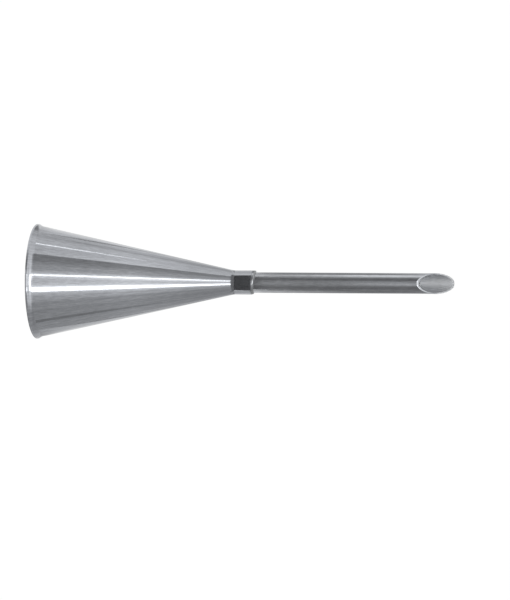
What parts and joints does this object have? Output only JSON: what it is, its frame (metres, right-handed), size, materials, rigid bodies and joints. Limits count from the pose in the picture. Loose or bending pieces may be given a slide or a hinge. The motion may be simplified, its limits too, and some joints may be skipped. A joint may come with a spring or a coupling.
{
  "type": "filling piping tip",
  "caption": "Long filling tip for a piping bag: a thin steel cone with a flared rim, narrowing to a collar and a slim tube with a slanted mouth.",
  "frame": {"origin": "middle of the rim, in the plane on which the tip stands", "axes": "+Z along the tip's axis from the rim to the point; -Y is the side that the slanted mouth faces"},
  "size_m": [0.0252, 0.0252, 0.092],
  "materials": {
    "cone_steel": "drawn stainless sheet, polished along the cone to a soft shine",
    "tube_steel": "drawn stainless tube, satin along its length",
    "braze": "bright silver braze, smooth"
  },
  "bodies": {
    "root": {"cone_body": "cone_steel", "filling_tube": "tube_steel", "braze_ring": "braze"}
  },
  "joints": []
}
